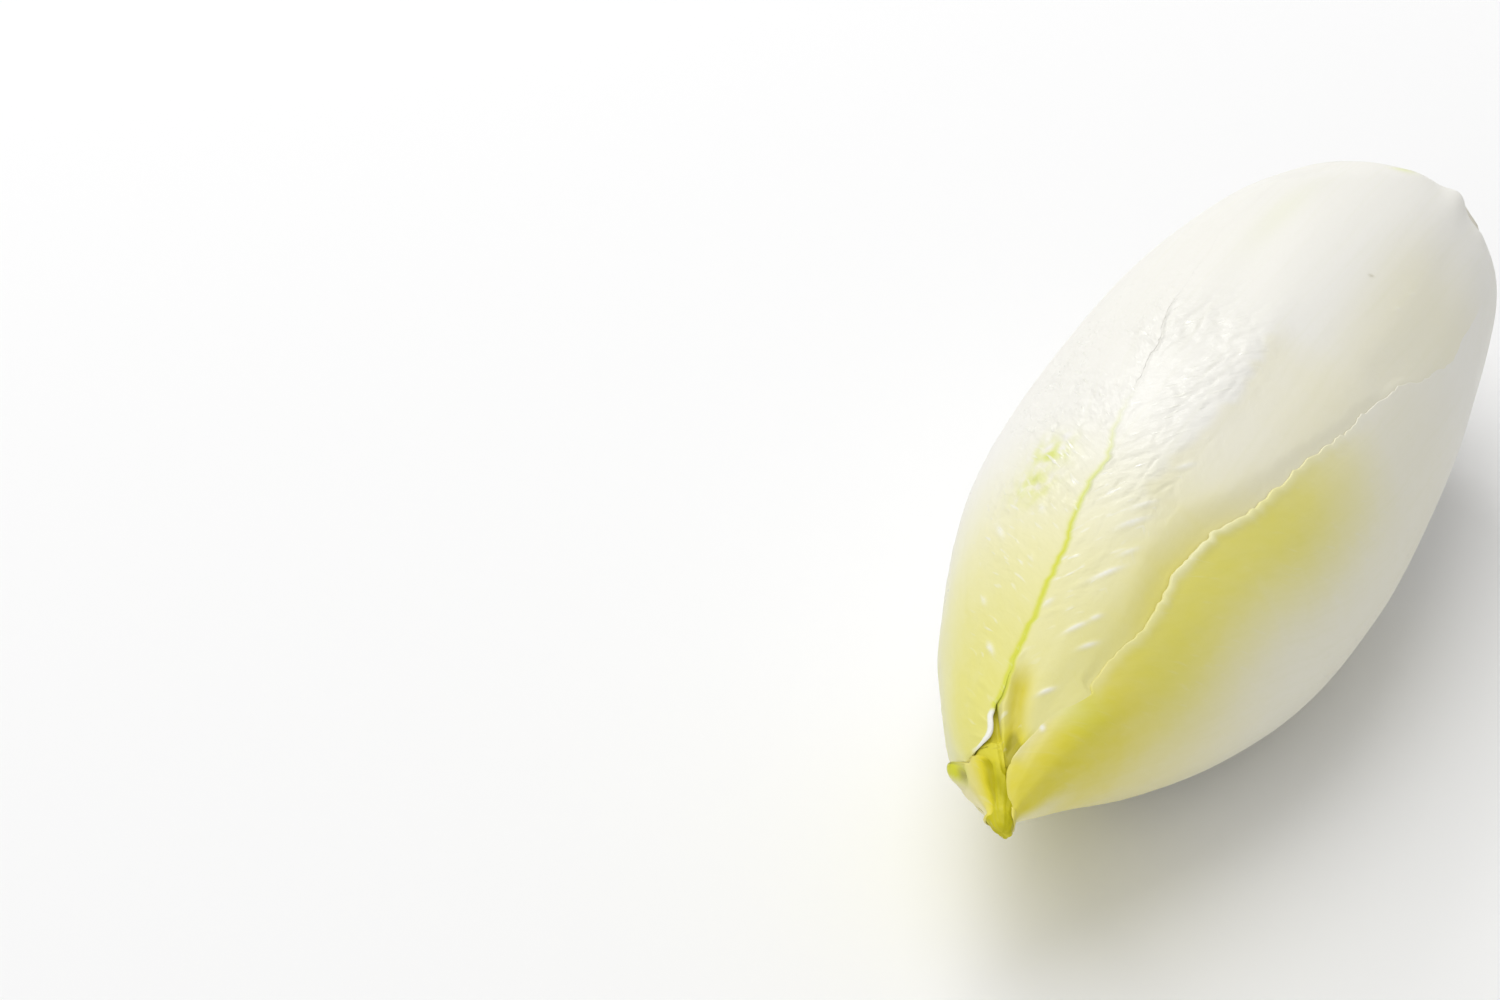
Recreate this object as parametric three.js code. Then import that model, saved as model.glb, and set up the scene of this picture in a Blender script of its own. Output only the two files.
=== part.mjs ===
// A head of Belgian endive lying on its side: a trimmed stem end, six leaves that wrap each other
// and a heart of tightly packed innermost leaves. Each piece is one closed solid.
//
// Millimetres, +X from the cut base to the tip, +Z up, the origin under the middle of the head.
//
// All leaves share one outer form, the envelope, which is a row of rings along the head's bowed axis.
// They are laid from the outside in: each one lies a clearance below the leaves that cover it, and
// rises to the envelope beyond their margins. An angle is measured round the axis: 0 is the +Y side,
// 90 the top, 180 the -Y side and 270 the underside.

import * as THREE from "three";

// Driving dimensions of the envelope
const HEIGHT_SHARE = 0.94; // a ring is this much lower than it is wide
const REST_FLAT = 1.0; // height taken off the underside, where the head rests

// The rings: distance from the cut base, radius
const RINGS = [
  [-3, 11.5],
  [1, 14.2],
  [4, 16.9],
  [9, 19.7],
  [16, 22.4],
  [27, 25.0],
  [41, 27.2],
  [58, 28.5],
  [75, 28.8],
  [93, 27.1],
  [109, 22.8],
  [122, 17.6],
  [132, 12.3],
  [139, 8.6],
  [145, 5.1],
  [148.5, 2.6],
  [151.9, 1.3],
];

// The bowed axis through them: distance, offset to the +Y side, offset upwards
const AXIS = [
  [0, 0.6, -0.8],
  [20, -0.3, -1.5],
  [45, -1.0, -2.3],
  [75, -0.6, -3.0],
  [105, -0.4, -2.4],
  [125, -0.8, -1.4],
  [138, -0.7, -0.5],
  [146, 1.2, -0.1],
  [151.9, 4.05, -0.1],
];

// Where the form departs from round: angle, half-width (degrees), height, distance, half-length
const FORMS = [
  [52, 12, 1.3, 2, 9],
  [96, 24, -0.7, 0, 20],
  [112, 18, -1.3, 13.5, 6.5],
  [38, 18, 1.4, 136, 9],
  [312, 26, -0.6, 145.5, 3.5],
];

// Leaves
const CLEARANCE = 0.4; // between two leaves, and between a leaf and the stem
const MARGIN_THICK = 0.7; // blade at its margins
const TIP_THICK = 0.62; // blade and rib at the leaf's tip
const LAP_FLAT = 0.12; // a covered leaf stays down this share of the radius past a covering margin
const LAP_RISE = 0.34; // and then rises to the envelope over this share of the radius
const TIP_HALF_ANGLE = 14; // half the angle that a leaf's narrowest point spans
const ROW_SHARE = 0.27; // rows of a leaf's mesh lie this share of the radius apart
const BASE_STEP = 1.8; // but only this far apart at the base
const LEAF_COLUMNS = 14;
const RIB_ROUNDING = 1.3; // how fast a leaf thins out from its rib to its margins
const THIN_REACH = 10; // the margins thin out to the tip's thickness over this length
const RIPPLE_FADE_IN = 12; // a margin's ripple grows over this length from the base
const RIPPLE_FADE_OUT = 20; // and dies away over this length before the tip
const LEAF_ROUGHNESS = 0.45;

// Stem
const STEM = [
  [-0.8, 10.5],
  [0, 12.4],
  [1.2, 13.9],
  [2.6, 15.2],
  [5.5, 16.6],
  [9, 14.5],
  [14, 9.0],
  [18.5, 2.6],
];
const STEM_SIDES = 28;
const STEM_LEAD = 3; // the stem makes way for a leaf this far before the leaf starts
const STEM_COLOUR = 0xe3dcc0;
const STEM_ROUGHNESS = 0.6;

// Heart
const HEART_START = 21;
const HEART_END = 128;
const HEART_SIDES = 28;
const HEART_CLEARANCE = 0.6;
const HEART_BLUNT = 0.03; // share of the full section at its two ends
const HEART_GROW = 12; // length over which it swells from its base
const HEART_SHRINK = 20; // length over which it closes to its tip
const HEART_COLOUR = 0xdfda96;
const HEART_ROUGHNESS = 0.5;

// Each leaf: where it starts and ends along the head, how thick its rib is, and its two margins as
// distance, lower angle, higher angle. Margins ripple by wave (mm), with a period of ripple (mm).
// A flare turns a margin outwards: distance, angle, radius of the turned part, height.
const LEAVES = [
  {
    name: "outer_leaf_right",
    start: 3,
    end: 150.5,
    ribs: [[3, 2.8], [26, 4.2], [70, 3.6], [110, 1.5], [140, 0.75]],
    margins: [
      [3, -112, 19],
      [30, -122, 24],
      [42, -124, 27],
      [55, -125, 36],
      [67, -125, 44],
      [90, -124, 52],
      [108, -121, 60],
      [120, -120, 57],
      [131, -121, 54],
      [136, -124, 57],
      [141.5, -128, 70],
      [145.8, -130, 81],
      [147.8, -130, 66],
      [149.3, -128, 46],
      [150, -122, 34],
      [150.5, -112, 10],
    ],
    wave: 0.3,
    ripple: 26,
    colour: 0xe9e8d4,
  },
  {
    name: "outer_leaf_left",
    start: 3.4,
    end: 144,
    ribs: [[3, 2.8], [26, 4.0], [70, 3.4], [110, 1.5], [138, 0.75]],
    margins: [
      [3.4, 114, 236],
      [30, 112, 250],
      [64, 108, 252],
      [84, 103, 251],
      [105, 100.5, 248],
      [127, 100, 240],
      [135, 102, 234],
      [139.6, 106, 228],
      [142, 108, 212],
      [144, 124, 176],
    ],
    wave: 0.3,
    ripple: 22,
    colour: 0xecebcf,
  },
  {
    name: "upper_leaf",
    start: 4.6,
    end: 144.8,
    ribs: [[4, 2.6], [26, 4.0], [70, 3.2], [110, 1.4], [140, 0.65]],
    margins: [
      [4.6, 0, 150],
      [30, 2, 149],
      [75, 4, 144],
      [110, 14, 134],
      [128, 30, 122],
      [136, 40, 112],
      [140, 52, 102],
      [143, 66, 93],
      [144.8, 76, 85],
    ],
    wave: 0.25,
    ripple: 24,
    colour: 0xedecd0,
  },
  {
    name: "lower_leaf",
    start: 5,
    end: 150.6,
    ribs: [[5, 1.6], [26, 3.0], [70, 3.0], [110, 1.4], [140, 0.65]],
    margins: [
      [5, 160, 350],
      [30, 162, 348],
      [75, 170, 338],
      [110, 178, 322],
      [130, 176, 310],
      [139, 168, 303],
      [142.4, 162, 298],
      [144, 132, 292],
      [145.6, 104.5, 285],
      [147.8, 106, 277],
      [149.3, 117, 267],
      [150.6, 160, 246],
    ],
    flare: [145.2, 186, 1.3, 1.4],
    wave: 0.2,
    ripple: 24,
    colour: 0xd8d26a,
  },
  {
    name: "inner_leaf_left",
    start: 9,
    end: 151.2,
    ribs: [[9, 1.6], [30, 3.2], [80, 2.8], [120, 1.2], [140, 0.65]],
    margins: [
      [9, 74, 232],
      [60, 64, 240],
      [110, 62, 236],
      [134, 62, 232],
      [140, 50, 228],
      [145, 20, 226],
      [148, -20, 232],
      [150.2, -60, 256],
      [151.2, -66, 260],
    ],
    wave: 0.2,
    ripple: 18,
    colour: 0xcfc83c,
  },
  {
    name: "inner_leaf_right",
    start: 12,
    end: 146,
    ribs: [[12, 1.4], [30, 3.0], [80, 2.6], [120, 1.2], [140, 0.65]],
    margins: [
      [12, -100, 52],
      [60, -108, 50],
      [110, -108, 48],
      [134, -100, 46],
      [142, -88, 36],
      [145, -66, 20],
      [146, -44, 0],
    ],
    wave: 0.2,
    ripple: 16,
    colour: 0xd2cc55,
  },
];

// A smooth curve through the rows of a table: each row is a distance and then its values
function along(table, x) {
  const last = table.length - 1;
  if (x <= table[0][0]) return table[0].slice(1);
  if (x >= table[last][0]) return table[last].slice(1);
  const i = table.findIndex((row) => row[0] > x) - 1;
  const span = table[i + 1][0] - table[i][0];
  const s = (x - table[i][0]) / span;
  return table[i].slice(1).map((value, k) => {
    const slope = (j) => {
      const a = table[Math.max(j - 1, 0)];
      const b = table[Math.min(j + 1, last)];
      return ((b[k + 1] - a[k + 1]) / (b[0] - a[0])) * span;
    };
    const end = table[i + 1][k + 1];
    return (
      (2 * s ** 3 - 3 * s ** 2 + 1) * value +
      (s ** 3 - 2 * s ** 2 + s) * slope(i) +
      (3 * s ** 2 - 2 * s ** 3) * end +
      (s ** 3 - s ** 2) * slope(i + 1)
    );
  });
}

const radians = THREE.MathUtils.degToRad;
const smooth = (t) => THREE.MathUtils.smoothstep(t, 0, 1);

const turned = (angle, from) =>
  THREE.MathUtils.euclideanModulo(angle - from + 180, 360) - 180;

const ringRadius = (x) => along(RINGS, x)[0];

// The radius of the head's outer form at a distance and angle
function envelope(x, angle) {
  return FORMS.reduce((radius, [at, width, height, middle, reach]) => {
    const round = Math.exp(-((turned(angle, at) / width) ** 2));
    return radius + height * round * Math.exp(-(((x - middle) / reach) ** 2));
  }, ringRadius(x));
}

// The point at a distance, angle and radius, kept above the flat that the head rests on
function pointAt(x, angle, radius, floor) {
  const [side, up] = along(AXIS, x);
  const a = radians(angle);
  return [
    x,
    side + radius * Math.cos(a),
    Math.max(up + HEIGHT_SHARE * radius * Math.sin(a), floor),
  ];
}

// The middle angle of a leaf and the half-angle to its margins, with their ripple
function spread(leaf, x) {
  const [low, high] = along(leaf.margins, x);
  const turn = (2 * Math.PI * x) / leaf.ripple;
  const fadeIn = smooth((x - leaf.start) / RIPPLE_FADE_IN);
  const fadeOut = smooth((leaf.end - x) / RIPPLE_FADE_OUT);
  const wave = THREE.MathUtils.radToDeg((leaf.wave * fadeIn * fadeOut) / ringRadius(x));
  const top = high + wave * (Math.sin(turn) + 0.6 * Math.sin(2.3 * turn + 1));
  const bottom = low + wave * (Math.sin(turn + 2) + 0.6 * Math.sin(1.7 * turn));
  return [(top + bottom) / 2, Math.max((top - bottom) / 2, TIP_HALF_ANGLE)];
}

// Thickness of a leaf across its width: thick at the rib, thin at the margins
function thickness(leaf, x, across) {
  const rib = along(leaf.ribs, x)[0];
  const margin = Math.min(
    MARGIN_THICK,
    rib + (MARGIN_THICK - TIP_THICK) * smooth((leaf.end - x) / THIN_REACH),
  );
  const v = Math.min(Math.abs(across), 1);
  return margin + (rib - margin) * (1 - v * v) ** RIB_ROUNDING;
}

// How much room a leaf takes from the leaves beneath it at a place
function room(leaf, x, angle) {
  const held = THREE.MathUtils.clamp(x, leaf.start, leaf.end);
  const [middle, half] = spread(leaf, held);
  const off = turned(angle, middle);
  const aside = radians(Math.max(Math.abs(off) - half, 0));
  const beyond = Math.hypot(aside, (x - held) / ringRadius(x)) - LAP_FLAT;
  const share = 1 - smooth(beyond / LAP_RISE);
  return share * (thickness(leaf, held, off / half) + CLEARANCE);
}

// Outer radius left at a place beneath the leaves that lie over it
const beneath = (covers, x, angle) =>
  covers.reduce((radius, leaf) => radius - room(leaf, x, angle), envelope(x, angle));

// How far a turned margin stands out at a place
function flareAt(leaf, x, angle) {
  if (!leaf.flare) return 0;
  const [at, middle, size, height] = leaf.flare;
  const aside = radians(turned(angle, middle)) * ringRadius(x);
  return height * Math.exp(-(Math.hypot(aside, x - at) ** 2) / size ** 2);
}

// Rows from start to end, closer together where the rings are small
function rowsBetween(start, end) {
  const rows = [];
  for (let x = start; x < end; ) {
    rows.push(x);
    x += Math.min(ROW_SHARE * ringRadius(x), BASE_STEP + 0.3 * x);
  }
  if (end - rows.at(-1) < 0.5) rows.pop();
  return [...rows, end];
}

// A closed mesh from vertices and faces
function solid(name, vertices, faces, colour, roughness) {
  const geometry = new THREE.BufferGeometry();
  geometry.setAttribute("position", new THREE.Float32BufferAttribute(vertices.flat(), 3));
  geometry.setIndex(faces.flat());
  geometry.computeVertexNormals();
  const material = new THREE.MeshStandardMaterial({ color: colour, roughness, metalness: 0 });
  const mesh = new THREE.Mesh(geometry, material);
  mesh.name = name;
  return mesh;
}

// One leaf: an outer and an inner skin over the same grid, joined round the margins
function makeLeaf(leaf, covers, floor) {
  const outer = [];
  const inner = [];
  const rows = rowsBetween(leaf.start, leaf.end);
  const last = rows.length - 1;
  rows.forEach((x) => {
    const [middle, half] = spread(leaf, x);
    for (let j = 0; j <= LEAF_COLUMNS; j += 1) {
      const across = (2 * j) / LEAF_COLUMNS - 1;
      const angle = middle + across * half;
      const radius = beneath(covers, x, angle) + flareAt(leaf, x, angle);
      const within = radius - thickness(leaf, x, across);
      outer.push(pointAt(x, angle, radius, floor));
      inner.push(pointAt(x, angle, within, floor + TIP_THICK));
    }
  });
  const width = LEAF_COLUMNS + 1;
  const at = (i, j) => i * width + j;
  const under = outer.length;
  const faces = [];
  for (let i = 0; i < last; i += 1) {
    for (let j = 0; j < LEAF_COLUMNS; j += 1) {
      const [a, b, c, d] = [at(i, j), at(i + 1, j), at(i + 1, j + 1), at(i, j + 1)];
      faces.push([a, d, c], [a, c, b]);
      faces.push([under + a, under + c, under + d], [under + a, under + b, under + c]);
    }
  }
  const rim = [];
  for (let j = 0; j < LEAF_COLUMNS; j += 1) rim.push(at(0, j));
  for (let i = 0; i < last; i += 1) rim.push(at(i, LEAF_COLUMNS));
  for (let j = LEAF_COLUMNS; j > 0; j -= 1) rim.push(at(last, j));
  for (let i = last; i > 0; i -= 1) rim.push(at(i, 0));
  rim.forEach((a, k) => {
    const b = rim[(k + 1) % rim.length];
    faces.push([b, a, under + a], [b, under + a, under + b]);
  });
  return solid(leaf.name, [...outer, ...inner], faces, leaf.colour, LEAF_ROUGHNESS);
}

// A solid of rings round the axis, closed by a point at each end
function makeRings(name, rows, sides, radiusAt, floor, colour, roughness) {
  const vertices = [];
  const faces = [];
  rows.forEach((x) => {
    for (let k = 0; k < sides; k += 1) {
      const angle = (360 * k) / sides;
      vertices.push(pointAt(x, angle, radiusAt(x, angle), floor));
    }
  });
  const first = vertices.length;
  vertices.push(pointAt(rows[0], 0, 0, floor), pointAt(rows.at(-1), 0, 0, floor));
  for (let k = 0; k < sides; k += 1) {
    const next = (k + 1) % sides;
    faces.push([first, next, k]);
    for (let i = 0; i + 1 < rows.length; i += 1) {
      const [a, b] = [i * sides + k, i * sides + next];
      faces.push([a, b, a + sides], [b, b + sides, a + sides]);
    }
    const end = (rows.length - 1) * sides;
    faces.push([end + k, end + next, first + 1]);
  }
  return solid(name, vertices, faces, colour, roughness);
}

function makeStem(floor) {
  const rows = STEM.map((row) => row[0]);
  const radiusAt = (x, angle) => {
    const covers = LEAVES.filter((leaf) => leaf.start < x + STEM_LEAD);
    return Math.min(along(STEM, x)[0], beneath(covers, x, angle) - CLEARANCE);
  };
  return makeRings("stem", rows, STEM_SIDES, radiusAt, floor, STEM_COLOUR, STEM_ROUGHNESS);
}

function makeHeart(floor) {
  const rows = rowsBetween(HEART_START, HEART_END);
  const radiusAt = (x, angle) => {
    const grown = Math.sqrt(smooth((x - HEART_START) / HEART_GROW + HEART_BLUNT));
    const closed = Math.sqrt(smooth((HEART_END - x) / HEART_SHRINK + HEART_BLUNT));
    return (beneath(LEAVES, x, angle) - HEART_CLEARANCE) * grown * closed;
  };
  return makeRings("heart", rows, HEART_SIDES, radiusAt, floor, HEART_COLOUR, HEART_ROUGHNESS);
}

// The lowest point of the envelope sets the height of the axis above the surface
function restHeight() {
  const rows = rowsBetween(0, RINGS.at(-1)[0]);
  const lows = rows.map((x) => pointAt(x, -90, ringRadius(x), -Infinity)[2]);
  return -Math.min(...lows) - REST_FLAT;
}

const group = new THREE.Group();
const height = restHeight();
group.add(makeStem(-height));
LEAVES.forEach((leaf, k) => group.add(makeLeaf(leaf, LEAVES.slice(0, k), -height)));
group.add(makeHeart(-height));

// The origin lies on the resting surface, under the middle of the whole head
const box = new THREE.Box3().setFromObject(group);
const centre = box.getCenter(new THREE.Vector3());
group.children.forEach((mesh) => mesh.position.set(-centre.x, -centre.y, height));

export default group;
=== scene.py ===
import math

import bpy
import numpy as np
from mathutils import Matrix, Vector


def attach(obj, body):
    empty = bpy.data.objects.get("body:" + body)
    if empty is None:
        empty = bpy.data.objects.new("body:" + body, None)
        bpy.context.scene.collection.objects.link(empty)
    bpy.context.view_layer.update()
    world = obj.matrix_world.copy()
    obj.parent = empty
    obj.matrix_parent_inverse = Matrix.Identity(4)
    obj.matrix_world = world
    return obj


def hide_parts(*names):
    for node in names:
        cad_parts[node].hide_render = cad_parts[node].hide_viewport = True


# A head of Belgian endive lying on its side: a trimmed stem end, six leaves that wrap each other
# and a heart of tightly packed innermost leaves.
#
# The head's own frame is in millimetres: x along the head from the cut base to the tip, y to the
# camera's side, z up. An angle is measured round the head's axis, in degrees: 0 is the +y side,
# 90 the top, 180 the -y side and 270 the underside. Leaves are laid from the outside in, each one
# below the leaves that cover it, and rise to the outer form beyond their margins.

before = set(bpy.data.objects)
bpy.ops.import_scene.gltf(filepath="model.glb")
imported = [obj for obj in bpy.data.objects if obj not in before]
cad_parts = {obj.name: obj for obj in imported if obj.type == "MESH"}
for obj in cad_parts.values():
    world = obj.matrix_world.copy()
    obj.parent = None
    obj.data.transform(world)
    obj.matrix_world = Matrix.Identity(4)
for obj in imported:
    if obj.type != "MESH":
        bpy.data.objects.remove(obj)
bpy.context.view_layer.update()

MM = 0.001

# Camera
CAMERA_FROM = (515.9, 151.2, 335.0)
CAMERA_AIM = (103.5, -54.9, 0.0)
LENS_MM = 100.0
SENSOR_MM = 36.0

# Outer form: rings along a bowed axis
HEIGHT_SHARE = 0.94  # a ring is this much lower than it is wide
RINGS = [
    (-3, 11.5), (1, 14.2), (4, 16.9), (9, 19.7), (16, 22.4), (27, 25.0), (41, 27.2), (58, 28.5),
    (75, 28.8), (93, 27.1), (109, 22.8), (122, 17.6), (132, 12.3), (139, 8.6), (145, 5.1),
    (148.5, 2.4), (150.9, 1.7), (151.9, 1.5),
]
# Distance, offset to the +y side, offset upwards
AXIS = [
    (0, 0.6, -0.8), (20, -0.3, -1.5), (45, -1.0, -2.3), (75, -0.6, -3.0), (105, -0.4, -2.4),
    (125, -0.8, -1.4), (138, -0.7, -0.5), (146, 1.2, -0.1), (151.9, 4.05, -0.1),
]
# Where the form departs from round: angle, half-width in degrees, height, distance, half-length
FORMS = [
    (52, 6.5, 1.6, 2, 9), (96, 24, -0.7, 0, 20), (14, 14, 0.5, 9, 9), (38, 18, 1.4, 136, 9),
    (184, 22, 0.8, 150.4, 0.45), (112, 18, -1.3, 13.5, 6.5), (72, 9, 0.45, 7.5, 3.5), (34, 6, 0.45, 8.5, 3),
    (355, 14, -0.5, 27, 13), (312, 26, -0.6, 145.5, 3.5), (172, 16, -0.4, 114, 7),
]

# Meshes
ROW_STEP = (0.08, 0.02)  # rows lie this far apart, plus this share of the ring's radius
RIM_STEPS = (0.0, 0.06, 0.16, 0.3)  # extra rows and columns at a leaf's rim, this far from it
FINE_STEP = 0.22  # column spacing beside a margin that covers the leaf
SEEN_STEP = 0.48  # where the leaf shows on the camera's side
FAR_STEP = 0.9  # where it shows elsewhere
HIDDEN_STEP = 2.6  # where other leaves cover it
SHARP_FROM = 62  # faces that meet at more degrees than this keep a hard edge
RIM_ROUND = 0.8  # the outer skin turns in at a rim over this share of the leaf's thickness
RIM_ROUND_MOST = 0.6  # but over no more than this
INNER_ROUND = 0.12  # the same share for the inner skin
SKIN_LEAST = 0.02  # the inner skin stays this far from the head's axis
CUT_REACH = 12  # a trimmed base edge blends into the leaf over this length
INNER_GAP = 0.3  # between a leaf's rib and the leaf below it

# Edges are tables of distance, thickness at the margin, gap below it, and the width over which
# the leaf beneath stays down past the margin and then the width over which it rises.
HIDDEN_EDGE = [(0, 0.6, 0.2, 1.0, 4.0), (152, 0.45, 0.2, 0.6, 1.5)]
CLOSED_EDGE = [(0, 0.6, 0.2, 1.0, 4.0), (149.4, 0.45, 0.2, 0.6, 1.5), (151.2, 2.2, 0.2, 0.6, 1.5)]
EDGE_LEAST = (0.012, 0.004, 0.0, 0.4)

LEAVES = [
    dict(
        name="outer_leaf_right", slot="outer_leaf", seed=11, start=3, end=150.5,
        ribs=[(3, 2.8), (26, 4.2), (70, 3.6), (110, 1.5), (140, 0.75), (148, 0.6), (150.5, 0.2)],
        margins=[
            (3, -112, 19), (30, -122, 24), (42, -124, 27), (55, -125, 36), (67, -125, 44),
            (90, -124, 52), (108, -121, 60), (120, -120, 57), (128, -121, 57), (131, -121, 55.5),
            (132, -121, 51.5), (134, -122, 52.5), (136, -124, 57), (141.5, -128, 70),
            (144.6, -130, 81), (145.8, -130, 81), (146.9, -130, 77), (147.8, -130, 66),
            (148.4, -129, 50), (149.3, -128, 46), (150, -122, 38), (150.3, -112, 18),
            (150.5, -98, -15),
        ],
        wave=0.3, ripple=26,
        low_edge=[
            (3, 0.4, 0.1, 0.2, 1.6), (60, 0.5, 0.2, 0.4, 2.5), (130, 0.6, 0.25, 0.5, 2.5),
            (151, 0.45, 0.2, 0.3, 1.0),
        ],
        high_edge=[
            (3, 0.012, 0.004, 0.0, 0.8), (44, 0.012, 0.004, 0.0, 1.0), (54, 0.06, 0.02, 0.05, 1.2),
            (66, 0.13, 0.04, 0.1, 1.6), (85, 0.24, 0.08, 0.2, 2.5), (98, 0.42, 0.14, 0.4, 4.0),
            (108, 0.5, 0.18, 0.5, 5.0), (117, 0.4, 0.12, 0.4, 4.0), (125, 0.22, 0.06, 0.2, 2.4),
            (131.4, 0.25, 0.07, 0.15, 1.4),
            (132.4, 0.012, 0.004, 0.0, 0.8), (139, 0.012, 0.004, 0.0, 0.8),
            (141, 0.12, 0.03, 0.1, 0.9), (145, 0.2, 0.05, 0.15, 0.9), (151, 0.2, 0.05, 0.2, 0.8),
        ],
        rag=[(3, 0.0), (30, 0.1), (60, 0.35), (100, 0.35), (130, 0.25), (140, 0.1), (151, 0.05)],
        crinkle=(0.4, 0.12, 0.0),
    ),
    dict(
        name="outer_leaf_left", slot="outer_leaf", seed=23, start=3.4, end=144.0,
        ribs=[(3, 2.8), (26, 4.0), (70, 3.4), (110, 1.5), (138, 0.75)],
        margins=[
            (3.4, 114, 236), (30, 112, 250), (64, 108, 252), (84, 103, 251), (105, 100.5, 248),
            (127, 100, 240), (135, 102, 234), (138.2, 105.3, 231), (139.6, 106.3, 229),
            (141.2, 105.3, 226), (142.3, 108, 214), (142.8, 112, 196), (143.3, 121, 176),
            (143.7, 133, 160), (144, 145, 152),
        ],
        wave=0.3, ripple=22,
        low_edge=[
            (3, 0.012, 0.004, 0.0, 0.6), (60, 0.012, 0.004, 0.0, 0.6), (68, 0.06, 0.02, 0.02, 0.6),
            (80, 0.06, 0.02, 0.02, 0.6), (88, 0.015, 0.005, 0.0, 0.7), (132, 0.02, 0.006, 0.0, 0.8),
            (137, 0.2, 0.06, 0.1, 0.9), (140, 0.45, 0.2, 0.3, 1.2), (142, 0.5, 0.3, 0.3, 1.2),
            (143, 0.16, 0.05, 0.1, 0.8), (144, 0.03, 0.01, 0.0, 0.4),
        ],
        high_edge=[
            (3, 0.5, 0.2, 0.4, 2.0), (130, 0.6, 0.25, 0.4, 2.0), (141.5, 0.16, 0.04, 0.1, 0.9),
            (144, 0.03, 0.01, 0.0, 0.4),
        ],
        rag=[(3, 0.0), (50, 0.1), (80, 0.3), (130, 0.25), (143, 0.1)],
        crinkle=(1.0, 0.5, -0.35),
    ),
    dict(
        name="upper_leaf", slot="outer_leaf", seed=37, start=4.6, end=144.8,
        ribs=[(4, 2.6), (26, 4.0), (70, 3.2), (110, 1.4), (140, 0.65)],
        margins=[
            (4.6, 0, 150), (30, 2, 149), (75, 4, 144), (110, 14, 134), (128, 30, 122),
            (136, 40, 112), (140, 52, 102), (143, 66, 93), (144.8, 76, 85),
        ],
        wave=0.25, ripple=24,
        low_edge=HIDDEN_EDGE,
        high_edge=[(4, 0.5, 0.2, 0.5, 2.0), (130, 0.5, 0.25, 0.4, 1.5), (145, 0.5, 0.3, 0.3, 1.2)],
        rag=[(4, 0.1), (144, 0.1)],
        cuts=[(35, 9, 3.4), (75, 14, -0.4)],
        crinkle=(0.12, 1.0, -0.1),
    ),
    dict(
        name="lower_leaf", slot="inner_leaf", seed=41, start=5, end=150.6,
        ribs=[(5, 1.6), (26, 3.0), (70, 3.0), (110, 1.4), (140, 0.65), (148, 0.5), (150.6, 0.15)],
        margins=[
            (5, 160, 350), (30, 162, 348), (75, 170, 338), (110, 178, 322), (130, 176, 310),
            (139, 168, 303), (142.4, 162, 298), (143.4, 153, 294), (143.8, 142, 292),
            (144.2, 124, 290), (144.7, 111, 288), (145.6, 104.5, 285), (146.7, 103, 281),
            (147.8, 106, 277), (148.6, 109, 273), (149.3, 117, 267), (149.9, 128, 260),
            (150.3, 144, 252), (150.6, 174, 244),
        ],
        wave=0.2, ripple=24,
        low_edge=[
            (5, 0.5, 0.2, 0.5, 2.0), (140, 0.4, 0.15, 0.3, 1.5), (143.8, 0.25, 0.06, 0.1, 0.9),
            (145.4, 0.06, 0.01, 0.0, 0.8), (150.9, 0.06, 0.01, 0.0, 0.8),
        ],
        high_edge=HIDDEN_EDGE,
        rag=[(5, 0.1), (150, 0.05)],
        crinkle=(0.3, 0.3, 0.0),
    ),
    dict(
        name="inner_leaf_left", slot="inner_leaf", seed=53, start=9, end=151.9,
        ribs=[(9, 1.6), (30, 3.2), (80, 2.8), (120, 1.2), (140, 0.65), (146, 0.7), (151.9, 2.6)],
        margins=[
            (9, 74, 232), (60, 64, 240), (110, 62, 236), (134, 62, 232), (140, 50, 228),
            (145, 20, 226), (148, -20, 232), (149.5, -60, 250), (150.3, -88, 269.5),
            (151.9, -90, 269.9),
        ],
        wave=0.2, ripple=18,
        low_edge=CLOSED_EDGE,
        high_edge=CLOSED_EDGE,
        rag=[(9, 0.1), (148, 0.0)],
        crinkle=(0.1, 0.1, 0.0),
        sunk=[(9, 0.0), (134, 0.0), (140, 0.4), (147, 0.45), (149, 0.3), (150.2, 0.1), (151.9, 0.3)],
    ),
    dict(
        name="inner_leaf_right", slot="inner_leaf", seed=67, start=12, end=146,
        ribs=[(12, 1.4), (30, 3.0), (80, 2.6), (120, 1.2), (140, 0.65)],
        margins=[
            (12, -100, 52), (60, -108, 50), (110, -108, 48), (134, -100, 46), (142, -88, 36),
            (145, -66, 20), (146, -44, 0),
        ],
        wave=0.2, ripple=16,
        low_edge=HIDDEN_EDGE,
        high_edge=HIDDEN_EDGE,
        rag=[(12, 0.1), (146, 0.1)],
        crinkle=(0.1, 0.1, 0.0),
    ),
]


# Small mathematics

def along(table, x):
    """The values of a table at x, each on a smooth curve through its rows of x and values."""
    rows = np.asarray(table, float)
    at, values = rows[:, 0], rows[:, 1:]
    slopes = np.empty_like(values)
    slopes[1:-1] = (values[2:] - values[:-2]) / (at[2:] - at[:-2])[:, None]
    slopes[0] = (values[1] - values[0]) / (at[1] - at[0])
    slopes[-1] = (values[-1] - values[-2]) / (at[-1] - at[-2])
    x = np.clip(np.asarray(x, float), at[0], at[-1])
    i = np.clip(np.searchsorted(at, x, side="right") - 1, 0, len(at) - 2)
    span = (at[i + 1] - at[i])[..., None]
    s = (x[..., None] - at[i][..., None]) / span
    found = (
        (2 * s**3 - 3 * s**2 + 1) * values[i]
        + (s**3 - 2 * s**2 + s) * slopes[i] * span
        + (3 * s**2 - 2 * s**3) * values[i + 1]
        + (s**3 - s**2) * slopes[i + 1] * span
    )
    return np.moveaxis(found, -1, 0)


def smooth(t):
    t = np.clip(t, 0.0, 1.0)
    return t * t * (3 - 2 * t)


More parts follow.
